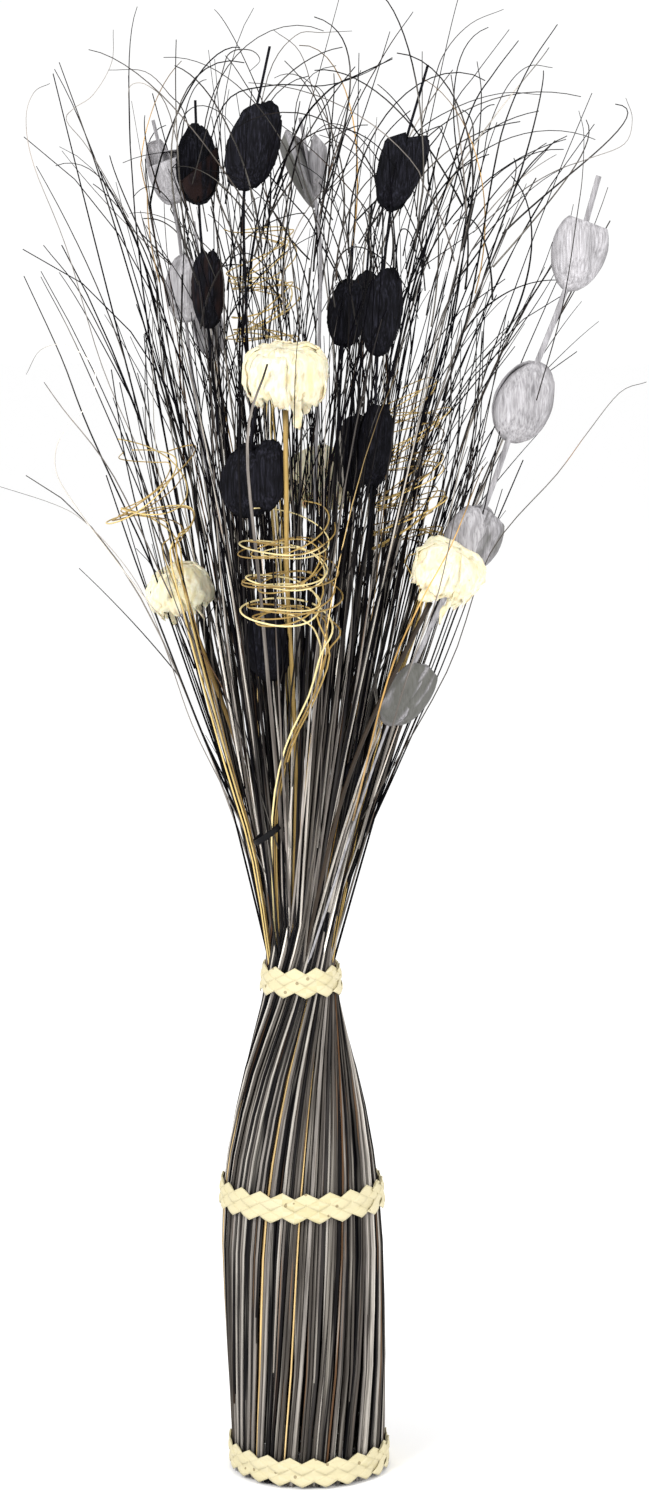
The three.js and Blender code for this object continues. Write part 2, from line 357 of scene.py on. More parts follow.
def make_specks():
    """Small scattered dark marks, as 1 on the mark and 0 elsewhere."""
    made, given, out = group(
        "Specks",
        [("Vector", "Vector", None), ("Scale", "Float", 120.0), ("Size", "Float", 0.12)],
        [("Mark", "Float")],
    )
    cells = put(made, "ShaderNodeTexVoronoi", {"Randomness": 1.0}, feature="F1")
    made.links.new(given.outputs["Vector"], cells.inputs["Vector"])
    made.links.new(given.outputs["Scale"], cells.inputs["Scale"])
    near = maths(made, "LESS_THAN", cells.outputs["Distance"], 0.5)
    made.links.new(given.outputs["Size"], near.node.inputs[1])
    few = put(made, "ShaderNodeSeparateColor")
    made.links.new(cells.outputs["Color"], few.inputs[0])
    chosen = maths(made, "GREATER_THAN", few.outputs[0], 0.6)
    made.links.new(maths(made, "MULTIPLY", near, chosen), out.inputs["Mark"])
    return made


GRAIN = make_grain()
SPECKS = make_specks()


def start_material(name, roughness, coordinate="Object", **values):
    """A material with its shader and a pattern socket: Object or UV."""
    material = bpy.data.materials.new(name)
    material.use_nodes = True
    tree = material.node_tree
    shader = tree.nodes["Principled BSDF"]
    shader.inputs["Roughness"].default_value = roughness
    for key, value in values.items():
        shader.inputs[key.replace("_", " ")].default_value = value
    where = put(tree, "ShaderNodeTexCoord").outputs[coordinate]
    return material, tree, shader, where


def placed(tree, which, where, **values):
    """A shader node group in a tree, fed by the pattern socket."""
    node = put(tree, "ShaderNodeGroup", node_tree=which)
    tree.links.new(where, node.inputs["Vector"])
    for key, value in values.items():
        node.inputs[key].default_value = value
    return node


def attribute(tree, name):
    return put(tree, "ShaderNodeAttribute", attribute_name=name).outputs["Fac"]


def finish_surface(tree, shader, colour, height, strength, distance):
    """Gives a shader its colour, and its relief from a height pattern."""
    tree.links.new(colour, shader.inputs["Base Color"])
    node = put(tree, "ShaderNodeBump", {"Strength": strength, "Distance": distance})
    tree.links.new(height, node.inputs["Height"])
    tree.links.new(node.outputs[0], shader.inputs["Normal"])


def straw_material():
    """Dyed stems: each takes one colour of the dye lot, with pale and rusty streaks where the dye
    has not held. They are duller below the neck, and most turn black towards their tips."""
    material, tree, shader, _ = start_material("Dyed straw", 0.5, Specular_IOR_Level=0.02)
    where = put(tree, "ShaderNodeAttribute", attribute_name="fibre").outputs["Vector"]
    tone = attribute(tree, "tone")
    grain = placed(tree, GRAIN, where, Across=1.3, Along=30.0)
    dye = ramp(
        tree,
        tone,
        [
            (0.0, "08080a"), (0.1, "161516"), (0.24, "2e2c2b"), (0.38, "47433f"), (0.5, "5f5a56"),
            (0.61, "7c7772"), (0.71, "9b968f"), (0.8, "c3beb6"), (0.87, "5b4330"), (0.925, "a68450"),
            (0.965, "cdb07a"),
        ],
        "CONSTANT",
    )
    streaks = ramp(tree, grain.outputs["Fibres"], [(0.3, 0.35), (0.5, 1.0), (0.7, 1.6)])
    straw = mixed(tree, 0.9, dye, streaks, "MULTIPLY")
    worn = ramp(tree, grain.outputs["Streaks"], [(0.56, 0.0), (0.7, 0.5)])
    takes = ramp(tree, tone, [(0.05, 0.1), (0.4, 1.0)])
    straw = mixed(tree, maths(tree, "MULTIPLY", worn, takes), straw, "b0aaa0")
    rusty = ramp(tree, grain.outputs["Streaks"], [(0.3, 0.5), (0.36, 0.0)])
    straw = mixed(tree, maths(tree, "MULTIPLY", rusty, takes), straw, "7c5a3a")
    # Paler above the neck: the colour is multiplied by up to 1.85 from the neck up.
    paler_above_neck = ramp(tree, attribute(tree, "along"), [(0.42, 1.04), (0.52, 1.85)])
    straw = mixed(tree, 1.0, straw, paler_above_neck, "MULTIPLY")
    black = mixed(tree, grain.outputs["Fibres"], "000002", "0d0c11")
    early = ramp(tree, attribute(tree, "along"), [(0.6, 0.0), (0.74, 0.8), (0.88, 1.0)])
    late = ramp(tree, attribute(tree, "along"), [(0.76, 0.0), (0.95, 0.9)])
    blackened = maths(tree, "MAXIMUM", maths(tree, "MULTIPLY", early, attribute(tree, "fade")), late)
    colour = mixed(tree, blackened, straw, black)
    rough = ramp(tree, grain.outputs["Fibres"], [(0.3, 0.36), (0.7, 0.62)])
    tree.links.new(rough, shader.inputs["Roughness"])
    finish_surface(tree, shader, colour, grain.outputs["Fibres"], 0.6, 0.0004)
    return material


def palm_material():
    """Undyed palm leaf of the braids: cream, with fibres along each strip, painted shade in brown along
    its edges where it dips under the strips beside it, and a few dark marks."""
    material, tree, shader, where = start_material("Palm leaf", 0.6, "UV", Specular_IOR_Level=0.25)
    tone = attribute(tree, "tone")
    turn = put(tree, "ShaderNodeMapping", {"Rotation": (0, math.pi / 2, 0)})
    tree.links.new(where, turn.inputs[0])
    grain = placed(tree, GRAIN, turn.outputs[0], Across=30.0, Along=3.0)
    leaf = ramp(tree, tone, [(0.0, "d9d5b4"), (0.25, "e8e5ca"), (0.65, "efecd6"), (1.0, "f3f1e0")])
    fibres = ramp(tree, grain.outputs["Fibres"], [(0.3, 0.88), (0.55, 1.0), (0.8, 1.03)])
    leaf = mixed(tree, 1.0, leaf, fibres, "MULTIPLY")
    across = put(tree, "ShaderNodeSeparateXYZ")
    tree.links.new(where, across.inputs[0])
    off_centre = maths(tree, "ABSOLUTE", maths(tree, "SUBTRACT", across.outputs[1], 0.5))
    # Painted shade: each strip is darkened to brown along its edges, where it dips under its neighbours.
    edge = ramp(tree, off_centre, [(0.42, 0.0), (0.5, 0.7)])
    leaf = mixed(tree, edge, leaf, "b3a678")
    marks = placed(tree, SPECKS, put(tree, "ShaderNodeTexCoord").outputs["Object"], Scale=140.0, Size=0.17)
    leaf = mixed(tree, maths(tree, "MULTIPLY", marks.outputs["Mark"], 0.6), leaf, "5d4520")
    finish_surface(tree, shader, leaf, grain.outputs["Fibres"], 0.35, 0.0005)
    return material


def petal_material(name, dark, mid, pale, undyed, sheen):
    """Dyed palm bark petals: long fibres, uneven dye and a darker rim. fade is 1 at the rim, and tone
    is how much of the dye has taken, with painted highlights on the ridges and bulges and painted
    shade between them."""
    material, tree, shader, where = start_material(name, 0.7, Specular_IOR_Level=sheen)
    grain = placed(tree, GRAIN, where, Across=900.0, Along=60.0)
    dye = ramp(tree, grain.outputs["Fibres"], [(0.32, dark), (0.52, mid), (0.72, pale)])
    cloud = ramp(tree, grain.outputs["Streaks"], [(0.35, 0.72), (0.6, 1.1)])
    dye = mixed(tree, 0.85, dye, cloud, "MULTIPLY")
    # tone also holds painted highlights and painted shade from the folds, so these ramps paint them too.
    shade = ramp(tree, attribute(tree, "tone"), [(0.0, 0.45), (0.3, 0.75), (0.5, 0.9), (1.0, 1.15)])
    dye = mixed(tree, 1.0, dye, shade, "MULTIPLY")
    bare = ramp(tree, attribute(tree, "tone"), [(0.0, 0.7), (0.22, 0.0)])
    dye = mixed(tree, bare, dye, undyed)
    # Darkens the rim towards the dark colour.
    darker_rim = ramp(tree, attribute(tree, "fade"), [(0.86, 0.0), (1.0, 0.65)])
    dye = mixed(tree, darker_rim, dye, dark)
    rough = ramp(tree, grain.outputs["Fibres"], [(0.3, 0.55), (0.7, 0.8)])
    tree.links.new(rough, shader.inputs["Roughness"])
    finish_surface(tree, shader, dye, grain.outputs["Fibres"], 0.6, 0.0006)
    return material


def flower_material():
    """Peeled palm pith of the flowers: off-white, with creases, and painted shade in tan in their
    hollows. tone is 0 in the depth of a fold."""
    material, tree, shader, where = start_material(
        "Palm pith", 0.75, Specular_IOR_Level=0.3, Subsurface_Weight=0.1, Subsurface_Scale=0.003
    )
    grain = placed(tree, GRAIN, where, Across=420.0, Along=140.0)
    pith = ramp(tree, grain.outputs["Fibres"], [(0.3, "d8cba4"), (0.55, "e6dec4"), (0.8, "eae6d4")])
    warm = ramp(tree, grain.outputs["Streaks"], [(0.5, 0.0), (0.7, 0.5)])
    pith = mixed(tree, warm, pith, "d9c88f")
    # Painted shade: tan where tone is low, in the depth of the folds.
    pith = mixed(tree, ramp(tree, attribute(tree, "tone"), [(0.0, 0.85), (0.4, 0.0)]), pith, "c2a97e")
    marks = placed(tree, SPECKS, where, Scale=170.0, Size=0.12)
    pith = mixed(tree, maths(tree, "MULTIPLY", marks.outputs["Mark"], 0.3), pith, "7e6636")
    finish_surface(tree, shader, pith, grain.outputs["Fibres"], 0.4, 0.0006)
    return material


def reed_material():
    """Split reeds: strands of several shades, unevenly peeled."""
    material, tree, shader, _ = start_material("Gold reed", 0.45, Specular_IOR_Level=0.3)
    where = put(tree, "ShaderNodeAttribute", attribute_name="fibre").outputs["Vector"]
    grain = placed(tree, GRAIN, where, Across=1.5, Along=60.0)
    shades = [(0.0, "1b1510"), (0.2, "4c3820"), (0.5, "94773f"), (0.8, "cdb06a"), (1.0, "ead9a0")]
    reed = ramp(tree, attribute(tree, "tone"), shades)
    peel = ramp(tree, grain.outputs["Streaks"], [(0.35, 0.55), (0.6, 1.15)])
    reed = mixed(tree, 0.8, reed, peel, "MULTIPLY")
    fibres = ramp(tree, grain.outputs["Fibres"], [(0.3, 0.6), (0.7, 1.2)])
    reed = mixed(tree, 0.5, reed, fibres, "MULTIPLY")
    finish_surface(tree, shader, reed, grain.outputs["Fibres"], 0.4, 0.0004)
    return material


def strap_material():
    material, tree, shader, where = start_material("Black strap", 0.6, Specular_IOR_Level=0.12)
    grain = placed(tree, GRAIN, where, Across=1400.0, Along=1400.0)
    colour = ramp(tree, grain.outputs["Fibres"], [(0.3, "040405"), (0.7, "131316")])
    finish_surface(tree, shader, colour, grain.outputs["Fibres"], 0.6, 0.0004)
    return material


# ---- things the stems keep clear of ----


def keep_clear():
    """Centre, radius and half height of each bud and flower, so that no stem runs through one."""
    made = []
    for node in nodes_named("bud_") + nodes_named("flower_0"):
        size = size_of(node)
        made.append((centre_of(node), max(size.x, size.y) / 2 + 0.001, size.z / 2 + 0.004))
    return made


OBSTACLES = keep_clear()
SEEN = ("flower_01", "flower_02", "flower_03", "bud_01_c", "bud_01_d", "bud_08_b")
OPEN_FRONT = [(centre_of(n), size_of(n)) for n in SEEN]


def pushed(point):
    """The point, moved sideways out of any bud or flower that it lies in."""
    for centre, radius, half in OBSTACLES:
        off = point - centre
        if abs(off.z) < half:
            flat = Vector((off.x, off.y, 0))
            room = radius * math.sqrt(1 - (off.z / half) ** 2)
            if 1e-6 < flat.length < room:
                point = point + flat * (room / flat.length - 1)
    return point


def hides_front(path):
    """Whether a stem runs straight across the face of a flower or of one of the free buds."""
    for centre, size in OPEN_FRONT:
        for p in path:
            near = abs(p.z - centre.z) < size.z * 0.5 and abs(p.x - centre.x) < max(size.x, size.y) * 0.5
            if near and p.y < centre.y:
                return True
    return False


# ---- stems ----

VASE_LEVELS = (
    0.0015, 0.04, 0.08, 0.12, 0.16, 0.195, 0.225, 0.255, 0.282, 0.306, 0.328, 0.348, 0.367, FAN_START,
)
FREE_STEPS = 12
LAYER_COUNTS = (14, 8, 5, 4)  # stems of each layer in one sheaf, from the outside in
PACKED = (0.94, 0.75, 0.55, 0.3)  # share of the neck's radius at which each layer is packed
SPREADS = ((0.075, 0.16), (0.05, 0.13), (0.03, 0.1), (0.0, 0.07))  # from the middle, at SPREAD_LEVEL
PALE_SHARE = 0.3  # of the stems that have taken little dye: most stay pale well up into the head
PALE_OUTSIDE = 0.72  # the same share of every other stem in the outer layer
GOLD_SHARE = 0.05  # of the stems that are thin and undyed
SWIRL = 0.28  # radians that a free stem goes round between the neck and SPREAD_LEVEL
SHORT_SHARES = (0.42, 0.5, 0.6, 0.5)  # of the stems that end low in the head
TWIG_STEPS = 10


class Stem:
    """One stem's place in the bundle and its look."""

    def __init__(self, azimuth, layer, alternate):
        self.azimuth = azimuth
        self.layer = layer
        self.alternate = alternate
        self.depth = dice.uniform(0, 0.0016) if layer == 0 else dice.uniform(0, 0.002)
        self.inner_share = dice.random()
        self.drift = dice.gauss(0, 0.035)
        self.size = dice.uniform(0.7, 1.15) if layer == 0 else dice.uniform(0.8, 1.05)
        self.tone = dice.uniform(0, 0.5)
        self.fade = 1.0
        if dice.random() < (PALE_OUTSIDE if alternate else PALE_SHARE):
            self.tone = dice.uniform(0.38, 0.87)
            self.fade = 1.0 if dice.random() < 0.3 else dice.uniform(0.0, 0.25)
        if dice.random() < GOLD_SHARE:
            self.tone = dice.uniform(0.88, 1.0)
            self.size *= 0.6
            self.fade = 0.1

    def bundled(self, z):
        """Its place at a height below the fan: the layers stand one behind another at the waist
        and are packed over the whole section at the neck."""
        radius = read(BUNDLE_RADIUS, z)
        pack = ease(0.2, 0.335, z)
        if self.layer == 3:
            standing = radius * mix(0.15, 0.78, self.inner_share)
            packed = radius * mix(0.05, 0.42, self.inner_share)
        else:
            standing = radius - 0.0015 - 0.0032 * self.layer - self.depth
            packed = radius * PACKED[self.layer] - 0.3 * self.depth
        here = mix(standing, packed, pack) - 0.0021 * self.alternate * pack
        angle = self.azimuth + read(TWIST, z) + self.drift * (1 - ease(0, 0.2, z))
        return in_bundle(here, angle, z)

    def path(self):
        """The whole stem: down in the bundle, then free above the neck."""
        low = [self.bundled(z) for z in VASE_LEVELS]
        foot = low[-1]
        middle = Vector((read(MIDDLE_X, FAN_START), 0, 0))
        near, far = SPREADS[self.layer]
        spread = math.sqrt(dice.uniform(near**2, far**2))
        angle = math.atan2(foot.y, foot.x - middle.x) + dice.gauss(SWIRL, 0.12)
        target = polar(spread, angle, SPREAD_LEVEL) + middle
        short = dice.random() < SHORT_SHARES[self.layer]
        top = dice.uniform(0.5, 0.82) if short else dice.triangular(0.72, 0.98, 0.86)
        top -= 0.5 * max(0.0, spread - 0.12)
        ahead = target - foot
        length = ahead.length * (top - FAN_START) / (SPREAD_LEVEL - FAN_START)
        bend = dice.uniform(0, 0.5)
        hook = dice.uniform(0, 2.5) if dice.random() < 0.8 else dice.uniform(4, 9)
        return low, grow(foot, ahead.normalized(), length, FREE_STEPS, bend, hook)

    def radii(self):
        low = [mix(0.00126, 0.00096, ease(0.2, 0.34, z)) for z in VASE_LEVELS]
        high = [mix(0.00102, 0.0004, (k / FREE_STEPS) ** 1.3) for k in range(1, FREE_STEPS + 1)]
        return [r * self.size for r in low + high]


def grow(point, ahead, length, steps, bend, hook):
    """A free stretch of stem or twig: it bends steadily, more towards its tip, and wanders."""
    across = ahead.cross(Vector((dice.gauss(0, 1), dice.gauss(0, 1), dice.gauss(0, 1)))).normalized()
    path = [point]
    step = length / steps
    for k in range(steps):
        turn = (bend + hook * (k / steps) ** 3) * step
        ahead = (Matrix.Rotation(turn, 3, across) @ ahead).normalized()
        across = (across + noise.noise_vector(point * 18) * 0.12).normalized()
        point = pushed(point + ahead * step)
        path.append(point)
    return path


def stays_in(path):
    """Whether a path stays within the room that the head has."""
    return all(REACH_LOW[a] < p[a] < REACH_HIGH[a] for p in path for a in range(3))


def tries(make, wanted):
    """The first of a dozen paths that is as wanted, or the last one cut back until it is."""
    for _ in range(12):
        path = make()
        if wanted(path):
            return path
    while not stays_in(path):
        path = [path[0].lerp(p, 0.85) for p in path]
    return path


def add_twig(body, high, tone, fade):
    """A fine twig that forks off the upper half of a stem's free part."""
    k = dice.randint(FREE_STEPS // 2, FREE_STEPS - 1)
    ahead = (high[k + 1] - high[k]).normalized()
    length = dice.uniform(0.05, 0.17)
    bend = dice.uniform(0, 3)
    hook = dice.choice((0, 0, 4, 12))

    def twig():
        aside = Vector((dice.gauss(0, 1), dice.gauss(0, 1), dice.gauss(0, 0.4)))
        aside = (aside - ahead * aside.dot(ahead)).normalized()
        forked = (ahead + aside * dice.uniform(0.05, 0.24)).normalized()
        return grow(high[k], forked, length, TWIG_STEPS, bend, hook)

    path = tries(twig, lambda p: stays_in(p) and not hides_front(p))
    radii = tapered(dice.uniform(0.00042, 0.00062), TWIG_STEPS, 1, 0.5)
    add_tube(body, path, radii, 3, tone, fade, span=(0.8, 1.0))


# The longest wisps at the edges of the head, each (thickness, tone, points), in millimetres.
WISPS = [
    (0.34, 0.7, [(-110, -20, 700), (-136, -30, 762), (-158, -40, 839), (-179, -40, 893), (-184, -35, 923),
                 (-179, -30, 940), (-169, -25, 946)]),
    (0.3, 0.7, [(-120, 10, 860), (-146, 5, 905), (-160, 0, 923), (-155, -5, 931), (-142, -5, 940),
                (-130, 0, 961), (-129, 5, 983)]),
    (0.7, 0.1, [(-84, -20, 700), (-110, -25, 795), (-139, -30, 893), (-162, -35, 959)]),
    (0.4, 0.35, [(-75, -50, 880), (-56, -55, 948), (-50, -50, 964), (-37, -45, 966), (-31, -40, 960),
                 (-38, -35, 953)]),
    (0.5, 0.2, [(-20, -40, 840), (-1, -50, 921), (5, -52, 942), (21, -55, 1000)]),
    (0.45, 0.3, [(60, -30, 860), (81, -40, 942), (90, -42, 966), (106, -45, 983), (127, -45, 992)]),
    (0.75, 0.1, [(88, -60, 740), (105, -65, 800), (120, -70, 888), (128, -72, 921), (142, -75, 953),
                 (160, -75, 980)]),
    (0.38, 0.6, [(110, 0, 850), (139, -10, 875), (164, -15, 890), (186, -20, 898), (208, -25, 907),
                 (213, -25, 923), (209, -20, 937)]),
    (0.42, 0.35, [(150, -50, 740), (166, -55, 800), (175, -60, 861), (178, -60, 885), (179, -55, 912),
                  (176, -50, 927)]),
    (0.5, 0.2, [(92, 40, 760), (104, 40, 830), (117, 38, 893), (122, 35, 921), (134, 32, 948),
                (148, 30, 961), (164, 30, 960)]),
    (0.5, 0.15, [(40, -60, 850), (55, -65, 885), (70, -70, 912), (98, -72, 929), (126, -72, 937),
                 (150, -70, 936)]),
    (0.45, 0.4, [(36, -35, 460), (92, -45, 560), (120, -55, 640), (163, -60, 692), (182, -60, 718),
                 (204, -55, 745), (222, -50, 752)]),
    (0.38, 0.7, [(-28, -25, 420), (-56, -38, 480), (-77, -45, 525), (-92, -50, 570), (-107, -50, 609),
                 (-124, -45, 635), (-148, -40, 660), (-168, -35, 671), (-206, -30, 683)]),
    (0.7, 0.1, [(-76, -20, 560), (-100, -25, 620), (-144, -30, 718), (-163, -30, 768), (-187, -30, 821)]),
    (0.55, 0.2, [(-84, 20, 600), (-120, 20, 690), (-157, 20, 776), (-180, 20, 821)]),
    (0.65, 0.1, [(-64, 30, 560), (-90, 30, 650), (-120, 30, 738), (-152, 25, 807), (-178, 20, 842)]),
    (0.4, 0.85, [(-100, -50, 600), (-130, -55, 640), (-152, -60, 671), (-165, -60, 695), (-161, -60, 718),
                 (-142, -55, 740), (-140, -55, 762), (-157, -60, 776), (-174, -60, 773), (-184, -55, 757)]),
    (0.5, 0.5, [(-90, -50, 610), (-127, -55, 690), (-160, -60, 735), (-172, -60, 752)]),
    (0.45, 0.3, [(-66, -28, 850), (-79, -32, 921), (-90, -35, 938), (-106, -35, 953), (-130, -35, 954)]),
    (0.4, 0.6, [(-74, -30, 850), (-90, -32, 925), (-104, -32, 944), (-116, -32, 944), (-117, -30, 930)]),
    (0.55, 0.1, [(-72, -40, 870), (-55, -48, 930), (-25, -50, 943), (10, -50, 943), (35, -50, 950),
                 (55, -50, 961)]),
    (0.75, 0.08, [(60, -50, 800), (84, -55, 860), (105, -58, 925), (120, -60, 950), (136, -60, 971)]),
    (0.55, 0.15, [(66, -20, 820), (80, -20, 880), (95, -22, 930), (110, -22, 952), (132, -22, 981)]),
    (0.6, 0.1, [(4, -60, 830), (16, -60, 880), (27, -62, 920), (50, -62, 963), (68, -62, 989)]),
    (0.45, 0.3, [(28, -40, 830), (20, -40, 890), (5, -42, 935), (-5, -42, 965), (-22, -42, 979)]),
    (0.4, 0.4, [(-40, -30, 880), (-26, -32, 950), (-8, -35, 976), (10, -35, 978), (29, -35, 979)]),
    (0.85, 0.05, [(-20, -48, 880), (-5, -50, 918), (15, -52, 941), (33, -52, 950), (55, -52, 960)]),
    (0.7, 0.12, [(110, -20, 800), (126, -24, 850), (140, -28, 885), (158, -30, 905), (170, -30, 912)]),
    (0.65, 0.1, [(96, 10, 780), (106, 8, 850), (113, 5, 905), (115, 0, 940), (112, 0, 962)]),
    # Thicker ones: a broken pale end low down, two pale strips, those over the flowers, and those
    # that close the fan's two edges.
    (1.1, 0.8, [(14, -24, 395), (22, -28, 430), (30, -30, 461)]),
    (0.75, 0.82, [(6, -30, 440), (14, -44, 510), (18, -55, 555), (22, -60, 586)]),
    (0.8, 0.84, [(-12, -32, 440), (-24, -52, 560), (-30, -62, 637), (-34, -64, 659)]),
    (1.5, 0.56, [(-16, -28, 430), (-30, -90, 610), (-38, -128, 715), (-25, -132, 765)]),
    (0.4, 0.1, [(-6, -34, 430), (-7, -84, 600), (-8, -130, 735), (-5, -132, 790), (2, -122, 850)]),
    (0.35, 0.6, [(8, -34, 430), (10, -80, 600), (12, -126, 740), (20, -128, 800)]),
    (0.6, 0.94, [(30, -40, 460), (52, -92, 560), (72, -120, 612), (92, -122, 650), (112, -118, 700)]),
    (0.6, 0.58, [(34, -34, 440), (64, -92, 560), (84, -120, 620), (98, -122, 690)]),
    (0.95, 0.02, [(-27, -6, 390), (-41, -10, 442), (-70, -16, 512), (-97, -20, 583), (-115, -24, 632),
                  (-134, -28, 690)]),
    (0.85, 0.02, [(-25, -9, 390), (-38, -16, 442), (-64, -26, 512), (-88, -34, 583), (-106, -38, 640),
                  (-120, -42, 700), (-129, -44, 760)]),
    (0.7, 0.62, [(-23, -12, 390), (-35, -20, 440), (-58, -32, 512), (-79, -42, 583), (-92, -48, 640)]),
    (0.7, 0.02, [(-26, -2, 390), (-42, -4, 450), (-74, -6, 520), (-104, -8, 600), (-122, -10, 660)]),
    (0.95, 0.02, [(20, -6, 394), (36, -8, 436), (54, -10, 480), (79, -14, 541), (102, -18, 605),
                  (122, -22, 650), (143, -26, 700)]),
    (0.85, 0.02, [(19, -9, 394), (34, -16, 436), (50, -24, 480), (73, -34, 541), (95, -42, 605),
                  (114, -48, 660), (126, -52, 720)]),
    (0.7, 0.72, [(18, -12, 394), (32, -20, 436), (46, -30, 480), (66, -42, 541), (82, -50, 590)]),
    (0.7, 0.02, [(21, -2, 394), (38, -4, 440), (60, -6, 490), (90, -8, 560), (112, -10, 620),
                 (130, -12, 680)]),
    (0.45, 0.35, [(-20, -36, 440), (-52, -50, 540), (-84, -60, 600), (-97, -60, 650), (-101, -58, 700)]),
]
LOOSE_TIPS = 105
TIP_STEPS = 18
TIPS_RADIUS = 0.13  # of the disc in the top of the head that the loose tips start in
TIPS_SHIFT = 0.02  # of that disc to the right, where the head is thinner


def add_wisps(body):
    """The named wisps, and more that start in the top of the head and curl as they please."""
    for thick, tone, points in WISPS:
        path = smooth_path([Vector(p) / 1000 for p in points], 5)
        add_tube(body, path, tapered(thick / 1000, len(path) - 1, 1.3, 0.55), 4, tone, 0.15)
    for _ in range(LOOSE_TIPS):
        out, around = TIPS_RADIUS * math.sqrt(dice.random()), dice.uniform(0, 2 * math.pi)
        start = polar(out, around, dice.uniform(0.78, 0.88))
        start.x += TIPS_SHIFT
        lean_x, lean_y = start.x * 2 + dice.gauss(0, 0.35), start.y * 2 + dice.gauss(0, 0.35)
        ahead = Vector((lean_x, lean_y, 1)).normalized()
        bend, hook = dice.uniform(3, 12), dice.choice((0, 8, 16, 24))
        length = dice.uniform(0.08, 0.19)
        path = tries(lambda: grow(start, ahead, length, TIP_STEPS, bend, hook), stays_in)
        thick = dice.uniform(0.00044, 0.00072)
        tone = dice.uniform(0, 0.4) if dice.random() < 0.8 else dice.random()
        add_tube(body, path, tapered(thick, TIP_STEPS, 1.2, 0.6), 3, tone, 0.8)


# Side, foot in millimetres and number of the long stems that widen the front of the fan on each side.
EDGES = ((1, 20, 18), (-1, -25, 5))


def add_edge_stems(body):
    """Stems that lean out on either side of the fan, nearly as far as its edge."""
    for side, foot, count in EDGES:
        for _ in range(count):
            reach, deep = side * dice.uniform(54, 98), dice.uniform(-55, 12)
            points = [(foot, 0.15 * deep - 4, 390), (mix(foot, reach, 0.42), 0.45 * deep, 480)]
            points += [(reach, deep, 600), (1.26 * reach, 1.2 * deep, 700)]
            points.append((1.4 * reach + dice.uniform(-9, 9), 1.3 * deep, dice.uniform(740, 800)))
            path = smooth_path([Vector(p) / 1000 for p in points], 4)
            thick = dice.uniform(0.0006, 0.0009)
            tone = dice.uniform(0, 0.3) if dice.random() < 0.6 else dice.uniform(0.4, 0.86)
            add_tube(body, path, tapered(thick, len(path) - 1, 1, 0.5), 4, tone, 0.7)


STUBS = 95
STUB_STEPS = 9


def add_stubs(body):
    """Cut ends and broken stems that stand low in the fan and close it from within. Most are painted
    near black, partly dark stems and partly painted shade of the fan's depth.
    """
    for _ in range(STUBS):
        angle, share = dice.uniform(0, 2 * math.pi), math.sqrt(dice.random())
        foot = in_bundle(0.021 * share, angle, VASE_LEVELS[-3])
        ahead = in_bundle(0.088 * share, angle + 0.2, 0.6) - foot
        length = ahead.length * dice.uniform(0.6, 1.4)
        path = tries(lambda: grow(foot, ahead.normalized(), length, STUB_STEPS, 0.2, 0), stays_in)
        # Mostly near black: partly dark stems and partly painted shade of the fan's depth.
        tone = dice.uniform(0, 0.2) if dice.random() < 0.7 else dice.uniform(0.4, 0.86)
        radii = tapered(dice.uniform(0.0009, 0.0012), STUB_STEPS, 1, 0.6)
        add_tube(body, path, radii, 4, tone, 1.0, span=(0.5, 0.9))


def add_pith(body):
    """The stems in the depth of the bundle, packed so close that they are one mass, painted near black:
    partly the dark stems within and partly painted shade of the bundle's depth.
    """
    levels = [z for z in VASE_LEVELS if z > 0.01]
    path = [Vector((read(MIDDLE_X, z), 0, z)) for z in levels]
    radii = [0.72 * read(BUNDLE_RADIUS, z) - 0.001 for z in levels]
    # Near black: partly dark stems and partly painted shade of the bundle's depth.
    add_tube(body, path, radii, 24, 0.05, 1.0)


def make_sheaf(node, stems, material):
    body = new_body()
    if node == "central_sheaf":
        add_pith(body)
        add_wisps(body)
        add_edge_stems(body)
        add_stubs(body)
    for stem in stems:
        for _ in range(12):
            low, high = stem.path()
            if stays_in(high) and (not hides_front(high) or dice.random() < 0.04):
                break
        add_tube(body, low + high[1:], stem.radii(), 5 if stem.layer == 0 else 4, stem.tone, stem.fade)
        add_twig(body, high, stem.tone, 1.0 if dice.random() < 0.8 else 0.4)
    finish_piece(node + "_stems", body, material, node)


def make_stems(material):
    for k in range(SHEAVES):
        middle = FIRST_AZIMUTH + 2 * math.pi * k / SHEAVES
        stems = []
        for layer in range(3):
            count = LAYER_COUNTS[layer]
            pitch = 2 * math.pi / (SHEAVES * count)
            for j in range(count):
                azimuth = middle + (j - (count - 1) / 2 + dice.uniform(-0.2, 0.2)) * pitch
                stems.append(Stem(azimuth, layer, (j + k * count) % 2 if layer == 0 else 0))
        make_sheaf(f"sheaf_{k + 1:02d}", stems, material)
    make_sheaf("central_sheaf", [Stem(2.4 * j, 3, 0) for j in range(LAYER_COUNTS[3] * SHEAVES)], material)


# ---- braided bands ----


def band_point(angle, z, off):
    return in_bundle(read(BUNDLE_RADIUS, z, 0.004) + off, angle, z)


def leaf_strip(body, start, direction, rows, teeth, middle, half, over, lift, tone):
    """One strip of a braid, seen from edge to edge of the band. It starts at a tooth, runs up or
    down across the rows of the weave, and goes over and under the strips that cross it."""
    bm = bmesh.new()
    tones = bm.verts.layers.float.new("tone")
    bmesh.ops.create_grid(bm, x_segments=4 * rows, y_segments=4, size=0.5, calc_uvs=True)
    for v in bm.verts:
        u = (v.co.x + 0.5) * rows
        w = v.co.y + 0.5
        turn = (u + w) / 2 * 2 * math.pi / teeth
        z = middle + direction * (u - w - (rows - 1) / 2) * half
        rise = math.cos(math.pi * (u + over - 0.5)) * 0.0006
        crown = 0.00035 * (1 - (2 * w - 1) ** 2)
        v.co = band_point(start + turn, max(z, 0.0006), 0.0013 + rise + crown + lift)
        v[tones] = tone
    walled(bm, 0.0005, lambda face: face.normal.xy.dot(face.calc_center_median().xy))
    add_to(body, bm)


